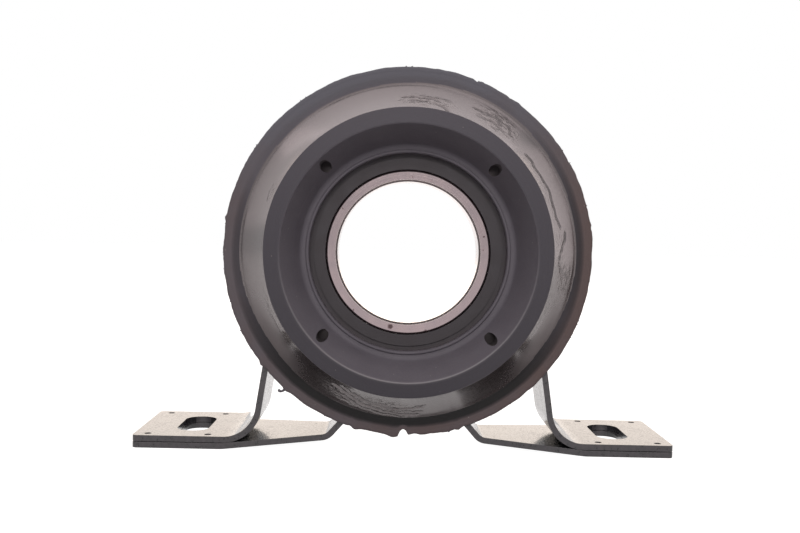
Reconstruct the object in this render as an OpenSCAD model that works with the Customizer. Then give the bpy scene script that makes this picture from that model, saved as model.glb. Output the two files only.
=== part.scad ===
// Driveshaft centre bearing: a sealed ball bearing carried in a moulded rubber boss,
// held by an omega strap over a cradle strap that are welded together at two slotted feet.
// The shaft runs along Y through the origin, the crest of the boss points to -Y, and Z is up.

/* [Bearing] */
// Shaft bore diameter
bore_d = 45; // [42:0.5:48]
// Outside diameter of the bearing
bearing_od = 68; // [66:0.5:72]
// Width of both rings
bearing_w = 12; // [11:0.5:16]
// Corner chamfer of the rings
ring_chamfer = 0.6; // [0.3:0.1:0.8]
// Largest ball diameter in section heights, from bore to outside
ball_share = 0.587; // [0.52:0.001:0.61]
// Number of balls
ball_count = 16; // [10:1:18]
// Gap between a ball and each raceway
ball_play = 0.05; // [0.02:0.01:0.1]
// Depth of the raceway grooves below their shoulders, in ball diameters
groove_share = 0.196; // [0.15:0.002:0.24]
// Raceway radius in ball radii
groove_conformity = 1.04; // [1.03:0.01:1.1]

/* [Cage] */
// Clearance from the cage to each ring
cage_clearance = 0.7; // [0.3:0.1:1]
// Clearance of a ball in its pocket
pocket_clearance = 0.1; // [0.05:0.05:0.2]
// Thickness of the rail behind the balls
cage_rail = 0.6; // [0.4:0.1:0.9]
// Smallest gap between the rail and the rear seal
cage_end_gap = 0.5; // [0.3:0.1:0.8]
// Height of the prongs past the ball centres
cage_prong = 1.7; // [1:0.1:2.2]

/* [Seals] */
// Depth of the seal seat in the outer ring, along the axis
seal_seat_w = 1.4; // [1:0.1:1.8]
// Depth of the seal seat below the outer ring's shoulder
seal_seat_depth = 1.1; // [0.8:0.1:1.3]
// How far the raised face of a seal lies below the ring faces
seal_recess = 0.4; // [0.2:0.1:0.6]
// How far the thin rim of a seal lies below its raised face
seal_rim_step = 0.6; // [0.3:0.1:0.6]
// Width of the thin rim of a seal
seal_rim_w = 1.5; // [1:0.1:2]
// Gap between the seal lip and the inner ring
seal_gap = 0.15; // [0.1:0.05:0.3]

/* [Rubber boss] */
// Wall of the hub around the bearing
hub_wall = 4; // [3:0.25:5]
// Thickness of the lips that hold the bearing
hub_lip = 1.8; // [1.4:0.1:2.5]
// Radius of the bead on the front lip
bead_r = 0.55; // [0.3:0.05:0.7]
// Radial run of the dish from the bearing to the crest
dish_run = 5.6; // [5:0.1:6.4]
// Fillet at the bottom of the dish
dish_fillet = 1.5; // [0.5:0.25:2]
// Height of the crest over the rim face
crest_h = 15.7; // [14:0.1:18]
// Radial width of the bevel outside the crest
bevel_w = 5; // [4:0.1:6]
// How far the bevel falls back
bevel_drop = 2.5; // [1.5:0.1:4]
// Radial run of the flank from the bevel to the rim's face
flank_run = 11.9; // [11:0.1:13]
// Radius of the flank's hollow section
flank_hollow = 64; // [50:1:90]
// Fillet between the flank and the rim
flank_fillet = 5; // [3.5:0.25:6]
// Thickness of the bellows wall
bellows_wall = 4.2; // [3.5:0.1:4.6]
// Thickness of the rubber lining under the straps
lining = 4.5; // [3.5:0.1:5]
// How far the lining ends inside the straps' back edges
lining_setback = 0.5; // [0:0.1:2]
// How far the flank's foot reaches out past the straps' inner face
foot_past_strap = 2; // [1:0.1:2.5]
// Thickness of the rim in front of the straps
rim_t = 2; // [1.5:0.25:4]
// How far the rim stands out past the straps
rim_overhang = 2.55; // [1.5:0.05:3.5]
// Edge radius of the rim
rim_edge_r = 0.6; // [0.4:0.1:1.2]
// Width of the split notch at the bottom of the rim
rim_notch_w = 2.2; // [1:0.1:4]
// Depth of the split notch
rim_notch_depth = 2; // [1:0.1:2.4]
// Diameter of the core pin holes in the dish
pin_hole_d = 3.5; // [2.5:0.1:4]
// Number of core pin holes
pin_hole_count = 4; // [2:1:8]
// Angle of the first core pin hole from +X, in degrees
pin_hole_angle = 45; // [0:5:90]
// Distance of the hole centres inside the crest
pin_hole_inset = 2.6; // [2.2:0.1:3]
// Rubber left between the hole ends and the bearing's face
pin_hole_floor = 5; // [4:0.25:7]

/* [Straps] */
// Thickness of both sheets
sheet_t = 1.95; // [1.6:0.05:2.3]
// Width of the upper strap's ring and legs along the shaft
strap_w = 28; // [24:0.5:34]
// Width of the cradle strap under the ring
cradle_w = 20.8; // [16:0.2:28]
// Distance from the bearing's centre forward to the front edge of the straps
strap_front = 3; // [0:0.5:6]
// Height of the shaft axis over the feet's underside
axis_h = 65; // [63.5:0.5:68]
// Half of the overall width across the feet
foot_half_span = 87.75; // [84:0.25:92]
// Depth of the feet along the shaft
foot_depth = 43; // [38:0.5:48]
// How far up the bend from the flat of the upper feet they keep their full depth
wing_lead = 3.3; // [1:0.1:5]
// Corner radius of the feet
foot_corner_r = 1.6; // [0.8:0.1:4]
// Gap between the two sheets at the feet
sheet_gap = 0.2; // [0.15:0.05:0.4]
// Length of the upper foot's flat, from its end to the bend
foot_flat_l = 29.25; // [27.5:0.25:31]
// Inside radius of the bend from leg to foot
foot_bend_r = 10.5; // [9:0.25:11]
// Outward lean of the legs from upright, in degrees
leg_lean = 8.5; // [5:0.5:11]
// Inside radius of the bend from ring to leg
neck_bend_r = 6; // [4:0.25:8]
// How far outside the upper foot's bend the cradle strap starts to rise
rise_lead = 0.5; // [0:0.1:1.5]
// Rise of the cradle strap towards the middle, in degrees
rise_angle = 6.2; // [5:0.2:7]
// Inside radius of the rise's bend
rise_bend_r = 15; // [8:1:20]
// Where the cradle strap kinks up, from the centre plane
kink_x = 24.25; // [23:0.25:27]
// Angle of the ramp past the kink, in degrees
ramp_angle = 48.6; // [45:0.5:54]
// Inside radius of the kink
kink_bend_r = 3.5; // [2.5:0.25:5]
// Inside radius of the bend from ramp to cradle
cradle_bend_r = 2; // [1:0.25:3]

/* [Foot slots and welds] */
// Slot centre from the foot's end
slot_end = 17.25; // [14:0.25:19]
// Width of the slots
slot_w = 10.6; // [8:0.1:12]
// Length of the slots along the shaft
slot_l = 25; // [18:0.5:28]
// Weld dimple spacing across the foot
weld_pitch_x = 19.5; // [17:0.5:20]
// Middle of the weld dimples from the foot's end
weld_end = 14.25; // [13:0.25:15.5]
// Distance of the dimples from the front and back edges
weld_edge = 3.3; // [2.5:0.1:4.5]
// Diameter of a weld dimple
weld_d = 2.3; // [1.5:0.1:3]
// Depth of a weld dimple
weld_depth = 0.6; // [0.3:0.1:1]

/* [Hidden] */
$fn = 96;
overcut = 1;
// Angle between the points of a drawn arc
arc_step = 3;
// How far a weld nub is rooted in its sheet
nub_root = 0.15;
rubber_colour = "#3b393c";
paint_colour = "#2c2c30";
steel_colour = "#9c979a";

bore_r = bore_d / 2;
bearing_r = bearing_od / 2;
face_y = bearing_w / 2;
// The balls are as large as the rings' section and the room between the seals let them be
section_h = (bearing_od - bore_d) / 2;
ball_room = bearing_w - 2 * (seal_seat_w + cage_end_gap + cage_rail + pocket_clearance);
ball_d = min(ball_share * section_h, ball_room);
ball_r = ball_d / 2;
groove_depth = groove_share * ball_d;
pitch_r = (bore_r + bearing_r) / 2;
groove_r = ball_r * groove_conformity;
inner_shoulder_r = pitch_r - ball_r + groove_depth;
outer_shoulder_r = pitch_r + ball_r - groove_depth;
seal_seat_r = outer_shoulder_r + seal_seat_depth;
pocket_r = ball_r + pocket_clearance;

ring_r = bearing_r + dish_run + bevel_w + flank_run - foot_past_strap;
strap_r = ring_r + sheet_t;
rim_r = strap_r + rim_overhang;
front_y = -strap_front;
back_y = front_y + strap_w;
foot_back_y = front_y + foot_depth;
foot_bend_x = foot_half_span - foot_flat_l;
wing_x = foot_bend_x - wing_lead;
rise_x = foot_bend_x + rise_lead;
rim_y = front_y - rim_t;
crest_y = rim_y - crest_h;
crest_r = bearing_r + dish_run;
hub_r = bearing_r + hub_wall;
hub_y = face_y + hub_lip;

stack_t = 2 * sheet_t + sheet_gap;
sole_z = -axis_h;
foot_z = sole_z + stack_t;
slot_x = foot_half_span - slot_end;
slot_y = front_y + foot_depth / 2;
weld_x = foot_half_span - weld_end;

function ball_name(i) = str("ball_", i < 10 ? "0" : "", i);

// Direction at an angle, and the point where two lines through a point and a direction meet
function heading(a) = [cos(a), sin(a)];
function turned(v) = [-v.y, v.x];
function cross2(a, b) = a.x * b.y - a.y * b.x;
function meet(p, u, q, v) = p + u * (cross2(q - p, v) / cross2(u, v));
function unit(v) = v / norm(v);
function arc(centre, r, a0, a1) =
    let (steps = ceil(abs(a1 - a0) / arc_step))
    [for (i = [0 : steps]) centre + r * heading(a0 + (a1 - a0) * i / steps)];

// A row of points the other way round, and its mirror image across the centre plane
function backward(row) = [for (i = [len(row) - 1 : -1 : 0]) row[i]];
function across(row) = [for (p = backward(row)) [-p.x, p.y]];
// One face of a sheet, from its right half and the points between the halves
function face_points(half, between) =
    concat(half, [for (i = [1 : len(between) - 2]) between[i]], across(half));

// Turns a profile drawn as radius and Y round the shaft axis
module revolve() {
    rotate([-90, 0, 0])
        rotate_extrude()
            children();
}

// Extrudes a profile drawn in X and Z from one Y to another
module along_shaft(y0, y1) {
    translate([0, y1, 0])
        rotate([90, 0, 0])
            linear_extrude(y1 - y0)
                children();
}

// Both halves of a shape that is drawn on the +X side
module both_sides() {
    children();
    mirror([1, 0, 0])
        children();
}

// What is cut from a foot, in X and Y: the slot and the waste outside its rounded corners
module foot_waste() {
    slot_outline();
    for (way = [-1, 1])
        translate([foot_half_span - foot_corner_r, slot_y + way * (foot_depth / 2 - foot_corner_r)])
            difference() {
                translate([0, min(way, 0) * (foot_corner_r + overcut)])
                    square(foot_corner_r + overcut);
                circle(foot_corner_r);
            }
}

module slot_outline() {
    straight_l = slot_l - slot_w;
    translate([slot_x, slot_y]) {
        square([slot_w, straight_l], center = true);
        for (y = [-straight_l / 2, straight_l / 2])
            translate([0, y])
                circle(slot_w / 2);
    }
}

module at_welds() {
    for (x = [weld_x - weld_pitch_x / 2, weld_x + weld_pitch_x / 2])
        for (y = [front_y + weld_edge, foot_back_y - weld_edge])
            translate([x, y, 0])
                children();
}

// The leg's outer face touches the foot bend and the neck bend, and both bends' centres lie outside it
leg_out = heading(leg_lean);
leg_down = -turned(leg_out);
foot_bend_c = [foot_bend_x, foot_z + foot_bend_r];
leg_face = leg_out * foot_bend_c - foot_bend_r;
neck_reach = strap_r + neck_bend_r;
neck_offset = leg_face + neck_bend_r;
neck_c = neck_offset * leg_out + sqrt(neck_reach ^ 2 - neck_offset ^ 2) * leg_down;
neck_angle = atan2(neck_c.y, neck_c.x);

// One face of the upper strap, at a depth below its outer face
function upper_half(depth) = concat(
    [[foot_half_span, foot_z - depth]],
    arc(foot_bend_c, foot_bend_r + depth, 270, 180 + leg_lean),
    arc(neck_c, neck_bend_r + depth, 180 + leg_lean, 180 + neck_angle));
function upper_face(depth) =
    face_points(upper_half(depth), arc([0, 0], strap_r - depth, neck_angle, 180 - neck_angle));

module upper_strap_profile() {
    polygon(concat(upper_face(0), backward(upper_face(sheet_t))));
}

// Waste behind the ring and the legs, so that only the feet reach further back
module wing_waste_profile() {
    bend_top_z = foot_z + foot_bend_r;
    polygon([
        [-wing_x, sole_z], [wing_x, sole_z], [wing_x, bend_top_z], [rim_r, bend_top_z],
        [rim_r, rim_r], [-rim_r, rim_r], [-rim_r, bend_top_z], [-wing_x, bend_top_z]]);
}

module upper_strap() {
    color(paint_colour)
        difference() {
            union() {
                along_shaft(front_y, foot_back_y)
                    upper_strap_profile();
                both_sides()
                    at_welds()
                        translate([0, 0, foot_z - sheet_t - sheet_gap])
                            cylinder(d = weld_d, h = sheet_gap + nub_root);
            }
            along_shaft(back_y, foot_back_y + overcut)
                wing_waste_profile();
            both_sides() {
                translate([0, 0, sole_z])
                    linear_extrude(stack_t + overcut)
                        foot_waste();
                at_welds()
                    translate([0, 0, foot_z - weld_depth])
                        cylinder(d = weld_d, h = weld_depth + overcut);
            }
        }
}

// The cradle strap's lower faces meet at the rise and at the kink, and the ramp's bend touches the ring
rise_out = heading(-rise_angle);
ramp_out = heading(-ramp_angle);
ramp_up = turned(ramp_out);
rise_outer_r = rise_bend_r + sheet_t;
kink_outer_r = kink_bend_r + sheet_t;
rise_c = [rise_x + rise_outer_r * tan(rise_angle / 2), sole_z + rise_outer_r];
kink = [kink_x, sole_z + (rise_x - kink_x) * tan(rise_angle)];
kink_end = kink + kink_outer_r * tan((ramp_angle - rise_angle) / 2) * rise_out;
kink_c = kink_end + kink_outer_r * turned(rise_out);
cradle_offset = ramp_up * kink - cradle_bend_r;
cradle_reach = strap_r + cradle_bend_r;
cradle_c = cradle_offset * ramp_up + sqrt(cradle_reach ^ 2 - cradle_offset ^ 2) * ramp_out;
cradle_angle = atan2(cradle_c.y, cradle_c.x);

// One face of the cradle strap, at a depth below its upper face
function cradle_half(depth) = concat(
    [[foot_half_span, sole_z + sheet_t - depth]],
    arc(rise_c, rise_bend_r + depth, 270, 270 - rise_angle),
    arc(kink_c, kink_bend_r + depth, 270 - rise_angle, 270 - ramp_angle),
    arc(cradle_c, cradle_bend_r + sheet_t - depth, 90 - ramp_angle, 180 + cradle_angle));
function cradle_face(depth) =
    face_points(cradle_half(depth), arc([0, 0], ring_r + depth, 360 + cradle_angle, 180 - cradle_angle));

module cradle_strap_profile() {
    polygon(concat(cradle_face(0), backward(cradle_face(sheet_t))));
}

// The cradle strap narrows at its back edge from the feet to the kinks
module cradle_strap() {
    cradle_back_y = front_y + cradle_w;
    beyond_y = foot_back_y + overcut;
    color(paint_colour)
        difference() {
            along_shaft(front_y, foot_back_y)
                cradle_strap_profile();
            both_sides()
                translate([0, 0, sole_z - overcut])
                    linear_extrude(stack_t + overcut)
                        foot_waste();
            translate([0, 0, sole_z - overcut])
                linear_extrude(axis_h)
                    polygon([
                        [-rise_x, foot_back_y], [-kink_x, cradle_back_y], [kink_x, cradle_back_y],
                        [rise_x, foot_back_y], [rise_x, beyond_y], [-rise_x, beyond_y]]);
        }
}

// Section of the rubber as radius and Y: the dish line and its back
dish_base = [bearing_r, -hub_y];
crest = [crest_r, crest_y];
dish_dir = unit(crest - dish_base);
dish_in = -turned(dish_dir);
dish_back = dish_base - bellows_wall * dish_in;
dish_fillet_c = meet(dish_base + dish_fillet * dish_in, dish_dir, [0, -hub_y - dish_fillet], [1, 0]);

// The flank's hollow runs from the bevel into the fillet, which touches the rim's face
flank_top = [crest_r + bevel_w, crest_y + bevel_drop];
flank_fillet_c = [flank_top.x + flank_run, rim_y - flank_fillet];
flank_span = norm(flank_fillet_c - flank_top);
flank_ahead = (flank_fillet_c - flank_top) / flank_span;
flank_along = (flank_hollow ^ 2 - (flank_hollow - flank_fillet) ^ 2 + flank_span ^ 2) / (2 * flank_span);
flank_c = flank_top + flank_along * flank_ahead - sqrt(flank_hollow ^ 2 - flank_along ^ 2) * turned(flank_ahead);
flank_start = atan2(flank_top.y - flank_c.y, flank_top.x - flank_c.x);
flank_end = atan2(flank_fillet_c.y - flank_c.y, flank_fillet_c.x - flank_c.x);
// The bellows' back is parallel to the chord of the hollow
flank_dir = unit(flank_c + flank_hollow * heading(flank_end) - flank_top);
flank_back = flank_top + bellows_wall * turned(flank_dir);

lining_r = ring_r - lining;
// The lining fills the straps' ring up to the flats between its drawn points
lining_face_r = ring_r * cos(arc_step / 2);
lining_y = back_y - lining_setback;

module boss_section() {
    polygon(concat(
        [[bearing_r, -face_y], [seal_seat_r, -face_y], [seal_seat_r, -hub_y]],
        arc(dish_fillet_c, dish_fillet, 90, atan2(-dish_in.y, -dish_in.x)),
        [crest],
        arc(flank_c, flank_hollow, flank_start, flank_end),
        arc(flank_fillet_c, flank_fillet, flank_end - arc_step, 90),
        arc([rim_r - rim_edge_r, rim_y + rim_edge_r], rim_edge_r, -90, 0),
        [[rim_r, front_y], [lining_face_r, front_y], [lining_face_r, lining_y], [lining_r, lining_y]],
        [meet(flank_back, flank_dir, [lining_r, 0], [0, 1])],
        [meet(flank_back, flank_dir, dish_back, dish_dir)],
        [meet(dish_back, dish_dir, [hub_r, 0], [0, 1])],
        [[hub_r, hub_y], [seal_seat_r, hub_y], [seal_seat_r, face_y], [bearing_r, face_y]]));
    translate([seal_seat_r + bead_r, -hub_y])
        circle(bead_r);
}

module rubber_boss() {
    hole_r = crest_r - pin_hole_inset;
    hole_end = -face_y - pin_hole_floor;
    color(rubber_colour)
        difference() {
            revolve()
                boss_section();
            for (i = [0 : pin_hole_count - 1])
                rotate([0, pin_hole_angle + 360 * i / pin_hole_count, 0])
                    translate([hole_r, crest_y - overcut, 0])
                        rotate([-90, 0, 0])
                            cylinder(d = pin_hole_d, h = hole_end - crest_y + overcut);
            translate([-rim_notch_w / 2, rim_y - overcut, -rim_r - overcut])
                cube([rim_notch_w, rim_t + overcut, rim_notch_depth + overcut]);
        }
}

module outer_ring() {
    seat_y = face_y - seal_seat_w;
    color(steel_colour)
        revolve()
            difference() {
                polygon([
                    [outer_shoulder_r, -seat_y], [seal_seat_r, -seat_y], [seal_seat_r, -face_y],
                    [bearing_r - ring_chamfer, -face_y], [bearing_r, -face_y + ring_chamfer],
                    [bearing_r, face_y - ring_chamfer], [bearing_r - ring_chamfer, face_y],
                    [seal_seat_r, face_y], [seal_seat_r, seat_y], [outer_shoulder_r, seat_y]]);
                translate([pitch_r + ball_r + ball_play - groove_r, 0])
                    circle(groove_r);
            }
}

module inner_ring() {
    color(steel_colour)
        revolve()
            difference() {
                polygon([
                    [bore_r, face_y - ring_chamfer], [bore_r, -face_y + ring_chamfer],
                    [bore_r + ring_chamfer, -face_y], [inner_shoulder_r - ring_chamfer, -face_y],
                    [inner_shoulder_r, -face_y + ring_chamfer], [inner_shoulder_r, face_y - ring_chamfer],
                    [inner_shoulder_r - ring_chamfer, face_y], [bore_r + ring_chamfer, face_y]]);
                translate([pitch_r - ball_r - ball_play + groove_r, 0])
                    circle(groove_r);
            }
}

// One seal, drawn on the -Y side: a raised ring with a thin rim that sits in the outer ring's seat
module seal() {
    lip_r = inner_shoulder_r + seal_gap;
    raised_y = seal_recess - face_y;
    rim_face_y = raised_y + seal_rim_step;
    seat_y = seal_seat_w - face_y;
    step_r = seal_seat_r - seal_rim_w;
    color(rubber_colour)
        revolve()
            polygon([
                [lip_r, seat_y], [lip_r, raised_y], [step_r, raised_y], [step_r, rim_face_y],
                [seal_seat_r, rim_face_y], [seal_seat_r, seat_y]]);
}

module front_seal() {
    seal();
}

module rear_seal() {
    mirror([0, 1, 0])
        seal();
}

// Moves a shape drawn on the X axis to one ball's place on the pitch circle
module at_ball(i) {
    rotate([0, 360 * (i - 1) / ball_count, 0])
        translate([pitch_r, 0, 0])
            children();
}

// Crown cage: one ring with a pocket for each ball, open on the -Y side
module ball_cage() {
    color("tan")
        difference() {
            revolve()
                translate([inner_shoulder_r + cage_clearance, -cage_prong])
                    square([
                        outer_shoulder_r - inner_shoulder_r - 2 * cage_clearance,
                        cage_prong + pocket_r + cage_rail]);
            for (i = [1 : ball_count])
                at_ball(i)
                    rotate([0, 90, 0])
                        cylinder(r = pocket_r, h = 2 * pocket_r, center = true);
        }
}

module ball(i) {
    color("gainsboro")
        at_ball(i)
            sphere(ball_r);
}

upper_strap();
cradle_strap();
rubber_boss();
outer_ring();
inner_ring();
front_seal();
rear_seal();
ball_cage();
for (i = [1 : ball_count])
    ball(i);
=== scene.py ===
"""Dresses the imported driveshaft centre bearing: rubber boss, painted straps, ground rings and a studio."""

import math

import bmesh
import bpy
import numpy as np
from mathutils import Matrix, Vector


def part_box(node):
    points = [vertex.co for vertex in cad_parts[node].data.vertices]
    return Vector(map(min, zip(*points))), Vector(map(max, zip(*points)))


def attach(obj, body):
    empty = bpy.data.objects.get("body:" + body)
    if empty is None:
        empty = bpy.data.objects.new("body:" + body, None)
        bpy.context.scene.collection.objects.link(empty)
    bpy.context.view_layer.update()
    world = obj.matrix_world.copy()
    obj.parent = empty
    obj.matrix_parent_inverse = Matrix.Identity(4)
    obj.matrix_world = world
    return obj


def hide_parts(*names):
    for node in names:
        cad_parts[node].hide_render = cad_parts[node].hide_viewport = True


bl_info = {
    "name": "Driveshaft centre bearing",
    "version": (1, 0, 0),
    "blender": (4, 5, 0),
    "location": "3D View > Sidebar > Centre bearing",
    "description": "Dresses the packed frame of a driveshaft centre bearing and sets up its studio",
    "category": "Object",
}

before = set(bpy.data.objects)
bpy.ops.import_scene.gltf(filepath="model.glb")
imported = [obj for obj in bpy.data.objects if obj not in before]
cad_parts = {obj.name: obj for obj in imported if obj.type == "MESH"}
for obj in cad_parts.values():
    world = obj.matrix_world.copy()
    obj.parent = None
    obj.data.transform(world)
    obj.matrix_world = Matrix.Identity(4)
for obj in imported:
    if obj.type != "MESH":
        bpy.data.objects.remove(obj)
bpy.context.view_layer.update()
MM = 0.001
BOSS_LOW, BOSS_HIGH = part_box("rubber_boss")
STRAP_LOW, STRAP_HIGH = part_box("upper_strap")
BEARING_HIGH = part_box("outer_ring")[1]
SEAL_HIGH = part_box("front_seal")[1]
SOLE_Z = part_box("cradle_strap")[0].z
# Radius at which the bore's chamfer meets the ring's face
BORE_EDGE = 23.1 * MM
# Points closer together than this are the same point
TINY = 0.001 * MM
# Degrees between points on a rounded corner of the boss's section
CORNER_STEP = 18
# Cracks in the flank's skin: half width, and how far their lines wander
CRACK_WIDTH = 0.34 * MM
CRACK_WANDER = 1.1 * MM
# Length of the flank's slope for each unit of its radial run
FLANK_SLOPE = 1.6
# Half width of the painted highlight along the ridge's lower half
RIDGE_HIGHLIGHT_WIDTH = 0.32 * MM
# Relief of the flank's skin: folds and grain of the rough patches, and the swell all over
FOLD_HEIGHT = 0.22 * MM
GRAIN_HEIGHT = 0.10 * MM
SWELL_HEIGHT = 0.10 * MM
# Unevenness of the rim's edge, coarse and fine, and how far its tears reach in from the rim's face
RIM_WAVE = 0.16 * MM
RIM_RAGGEDNESS = 0.14 * MM
TEAR_DEPTH = 1.5 * MM
# Crumbs of flash: share of the points on the rim's edge that have one, and their random seed
NUB_SHARE = 0.06
NUB_SEED = 7
# Rounding of the straps' edges, and the least turn in degrees that makes an edge
STRAP_EDGE = 0.34 * MM
STRAP_EDGE_TURN = 40
# Floor: white that it gives off to the eye, then the greys it scatters to matt surfaces and to the eye
FLOOR_GLOW = 0.97
FLOOR_MATT = "#898989"
FLOOR_SHADOW = "#b3b3b3"

# Marks on the boss as azimuth in degrees, anticlockwise from +X as seen from the front.
# Tears and nubs of the rim: azimuth, half width in degrees, millimetres outwards
RIM_TEARS = (
    (5.5, 2.6, 0.35), (9.8, 0.7, 0.25), (31.0, 0.8, -0.15), (54.8, 0.9, 0.22), (58.0, 0.6, -0.15),
    (67.8, 0.5, 0.3), (69.5, 0.7, -0.45), (104.0, 3.0, -0.15), (136.0, 4.0, 0.15), (170.5, 0.8, 0.4),
    (176.0, 2.0, -0.15), (207.0, 1.0, 0.2), (218.5, 0.8, 0.55), (229.8, 1.3, 0.45), (233.0, 1.5, -0.2),
    (252.8, 0.6, -0.3), (254.6, 1.2, 0.45), (259.5, 2.2, -0.25), (266.6, 1.8, 0.8), (273.4, 1.8, -0.6),
    (279.0, 2.4, -0.1), (284.5, 1.6, 0.25), (287.2, 0.7, 0.5), (289.5, 1.0, -0.3), (315.0, 1.2, 0.15),
)
# Cracks in the flank's skin: depth in millimetres, then points of azimuth and share of the flank from its top
FLANK_CRACKS = (
    (0.34, ((241.5, 0.17), (247.0, 0.26), (253.7, 0.40), (261.0, 0.49), (268.5, 0.56), (274.0, 0.58))),
    (0.30, ((245.0, 0.12), (252.0, 0.24), (259.0, 0.35), (266.0, 0.38), (273.0, 0.36), (277.0, 0.30))),
    (0.26, ((247.5, 0.40), (254.0, 0.53), (262.0, 0.61), (270.0, 0.65))),
    (0.22, ((250.0, 0.18), (256.0, 0.27), (263.0, 0.29))),
    (0.20, ((266.0, 0.47), (270.5, 0.46), (276.0, 0.50))),
    (0.26, ((67.0, 0.42), (62.0, 0.44), (58.5, 0.46), (56.0, 0.50))),
    (0.24, ((54.0, 0.50), (51.5, 0.43), (50.0, 0.32))),
    (0.18, ((62.0, 0.27), (57.0, 0.30), (54.0, 0.26))),
    (0.28, (
        (41.0, 0.26), (35.0, 0.23), (28.0, 0.23), (25.0, 0.27), (20.0, 0.21), (16.0, 0.20), (11.0, 0.26))),
    (0.26, ((8.5, 0.44), (5.5, 0.38), (1.5, 0.24), (-1.5, 0.17))),
    (0.20, ((-3.0, 0.18), (-6.0, 0.26), (-8.0, 0.47))),
    (0.22, ((93.0, 0.30), (90.0, 0.33), (86.5, 0.29), (83.0, 0.31), (80.0, 0.26))),
    (0.20, ((91.0, 0.22), (87.0, 0.20), (84.0, 0.22))),
    (0.20, ((81.0, 0.16), (78.0, 0.12), (76.0, 0.05))),
)
# Rough patches of the flank: azimuth and its half width, flank share and its half width, strength
FLANK_SCUFFS = (
    (257.0, 17.0, 0.36, 0.28, 1.0), (84.5, 11.0, 0.22, 0.17, 1.0), (57.0, 10.0, 0.34, 0.28, 0.9),
    (28.0, 20.0, 0.10, 0.14, 0.3), (2.0, 10.0, 0.15, 0.16, 0.35), (351.5, 6.0, 0.40, 0.30, 0.75),
    (157.0, 5.0, 0.10, 0.10, 0.5), (208.0, 16.0, 0.06, 0.12, 0.35), (338.0, 14.0, 0.16, 0.22, 0.2),
)
# Sectors where the flank's outer half is dull: azimuth and half width
DULL_SECTORS = ((213.0, 12.0), (327.0, 12.0))
# Share of the flank at which its skin ends at the sides, and how much sooner at the top and at the bottom
SKIN_END = 0.76
SKIN_LOSS_TOP = 0.03
SKIN_LOSS_BOTTOM = 0.09
# Sectors where the flank's skin reaches further out, or less far: azimuth, half width, flank share
SKIN_REACHES = ((60.0, 28.0, 0.09), (213.0, 16.8, -0.08), (327.0, 16.8, -0.08))
# Azimuths of the rim's split and of the curl of flash
SPLIT_AZIMUTH = 269.7
CURL_AZIMUTH = 229.3
# Azimuth at which the measure around the flank has its seam, where the flank has no fine cracks
SEAM_AZIMUTH = 200.0
# Marks on the ring's face: X, Z and size in millimetres
RING_MARKS = (
    (-4.7, -23.4, 1.9), (6.6, -24.9, 1.7), (7.4, 23.4, 1.05), (1.2, 24.5, 0.95), (-20.7, 14.0, 0.95),
    (24.3, 1.8, 0.95), (16.0, 19.9, 0.95),
)


def linear(hex_colour):
    """One sRGB hex colour as linear RGB with full opacity."""
    parts = [int(hex_colour[i:i + 2], 16) / 255 for i in (1, 3, 5)]
    return tuple(c / 12.92 if c <= 0.04045 else ((c + 0.055) / 1.055) ** 2.4 for c in parts) + (1.0,)


def size_of(name, description, millimetres):
    """A length that a user would change."""
    return bpy.props.FloatProperty(
        name=name, description=description, default=millimetres * MM, unit="LENGTH")


def colour_of(name, description, hex_colour):
    """A colour that a user would change."""
    return bpy.props.FloatVectorProperty(
        name=name, description=description, default=linear(hex_colour), subtype="COLOR", size=4, min=0, max=1)


def angle_of(name, description, degrees):
    """An angle that a user would change."""
    return bpy.props.FloatProperty(
        name=name, description=description, default=math.radians(degrees), subtype="ANGLE")


def power_of(name, description, watts):
    """A lamp's power that a user would change."""
    return bpy.props.FloatProperty(name=name, description=description, default=watts, unit="POWER")


class BossSettings(bpy.types.PropertyGroup):
    """Sizes of the rubber boss that the frame's boxes don't give."""
    crest_radius: size_of("Crest radius", "Radius of the ridge between the dish and the bevel", 39.6)
    bevel_width: size_of("Bevel width", "Radial width of the bevel outside the ridge", 5.0)
    bevel_drop: size_of("Bevel drop", "How far the bevel falls back", 2.5)
    flank_run: size_of("Flank run", "Radial run of the flank from the bevel to the rim's face", 11.9)
    flank_hollow: size_of("Flank hollow", "Radius of the flank's hollow section", 64.0)
    flank_fillet: size_of("Flank fillet", "Fillet between the flank and the rim", 5.0)
    dish_fillet: size_of("Dish fillet", "Fillet at the bottom of the dish", 1.5)
    crest_edge: size_of("Crest edge", "Edge radius of the ridge", 0.45)
    rim_thickness: size_of("Rim thickness", "Rubber in front of the straps", 2.0)
    rim_edge: size_of("Rim edge", "Edge radius of the rim", 0.6)
    hub_lip: size_of("Hub lip", "Thickness of the lips that hold the bearing", 1.8)
    hub_wall: size_of("Hub wall", "Rubber around the bearing", 4.0)
    bead: size_of("Bead", "Height of the bead on the front lip", 0.55)
    wall: size_of("Bellows wall", "Thickness of the bellows", 4.2)
    lining: size_of("Lining", "Rubber under the straps", 4.5)
    sheet: size_of("Sheet", "Thickness of the straps", 1.95)
    pin_hole: size_of("Pin hole", "Radius of the core pin holes", 1.75)
    pin_inset: size_of("Pin inset", "Distance of the hole centres inside the ridge", 2.6)
    pin_floor: size_of("Pin floor", "Rubber between the hole ends and the bearing", 5.0)
    notch_width: size_of("Notch width", "Width of the split at the bottom of the rim", 2.2)
    notch_depth: size_of("Notch depth", "Depth of the split", 2.1)
    nub: size_of("Flash nub", "Largest crumb of torn flash on the rim", 0.26)
    pin_holes: bpy.props.IntProperty(
        name="Pin holes", description="Number of core pin holes, the first on the diagonal", default=4)
    turns: bpy.props.IntProperty(name="Turns", description="Steps of the boss around the shaft", default=560)


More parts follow.
